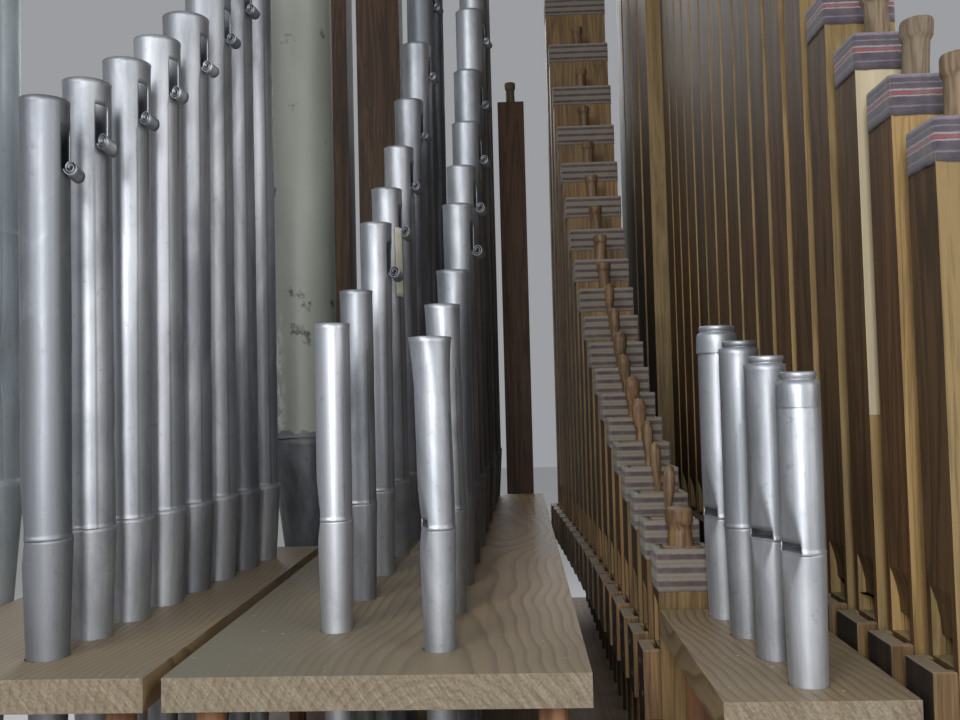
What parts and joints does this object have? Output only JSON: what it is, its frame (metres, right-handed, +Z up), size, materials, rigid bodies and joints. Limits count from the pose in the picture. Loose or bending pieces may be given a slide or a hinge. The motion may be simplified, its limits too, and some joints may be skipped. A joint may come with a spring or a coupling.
{
  "type": "pipe organ windchest with pipework",
  "caption": "Slider windchest on a timber frame, carrying graded ranks of open metal, stopped metal and stopped wooden organ pipes held in rack boards.",
  "frame": {"origin": "on the floor, under the middle of the chest", "axes": "+X across the chest towards the tall wooden rank, +Y along the chest from treble to bass, +Z up"},
  "size_m": [0.86, 1.24, 2.826],
  "materials": {
    "frame_timber": "old planed softwood, dusty",
    "chest_timber": "reddish brown varnished softwood, dusty",
    "rack_pine": "grey-brown planed pine with rough sawn ends",
    "pipe_metal": "dull tin-lead pipe metal with scratches",
    "bare_zinc": "dark bare zinc",
    "painted_zinc": "worn grey-green paint",
    "pipe_timber": "sized pine and brown stained oak",
    "turned_timber": "turned and waxed",
    "plaid_cloth": "woven striped cotton"
  },
  "bodies": {
    "root": {"frame_legs": "frame_timber", "frame_long_rails": "frame_timber", "frame_cross_rails": "frame_timber", "pallet_box_floor": "chest_timber", "pallet_box_sides": "chest_timber", "treble_end_board": "chest_timber", "bass_end_board": "chest_timber", "channel_grid": "chest_timber", "chest_table": "chest_timber", "slider_bearers": "chest_timber", "sliders": "chest_timber", "upperboards": "chest_timber", "rack_pillars": "chest_timber", "left_rack_board": "rack_pine", "middle_rack_board": "rack_pine", "treble_rack_board": "rack_pine", "left_rank_feet": "pipe_metal", "left_rank_bodies": "pipe_metal", "left_rank_scrolls": "pipe_metal", "middle_rank_feet": "pipe_metal", "middle_rank_bodies": "pipe_metal", "middle_rank_scrolls": "pipe_metal", "treble_feet": "pipe_metal", "treble_bodies": "pipe_metal", "treble_caps": "pipe_metal", "zinc_bass_feet": "bare_zinc", "zinc_bass_bodies": "painted_zinc", "small_wood_feet": "pipe_timber", "small_wood_blocks": "pipe_timber", "small_wood_bodies": "pipe_timber", "small_wood_caps": "pipe_timber", "small_wood_stoppers": "turned_timber", "small_wood_cloths": "plaid_cloth", "tall_wood_feet": "pipe_timber", "tall_wood_blocks": "pipe_timber", "tall_wood_bodies": "pipe_timber", "tall_wood_caps": "pipe_timber", "tall_wood_stoppers": "turned_timber", "tall_wood_cloths": "plaid_cloth", "rear_wood_feet": "pipe_timber", "rear_wood_blocks": "pipe_timber", "rear_wood_bodies": "pipe_timber", "rear_wood_caps": "pipe_timber", "rear_wood_stoppers": "turned_timber"}
  },
  "joints": []
}
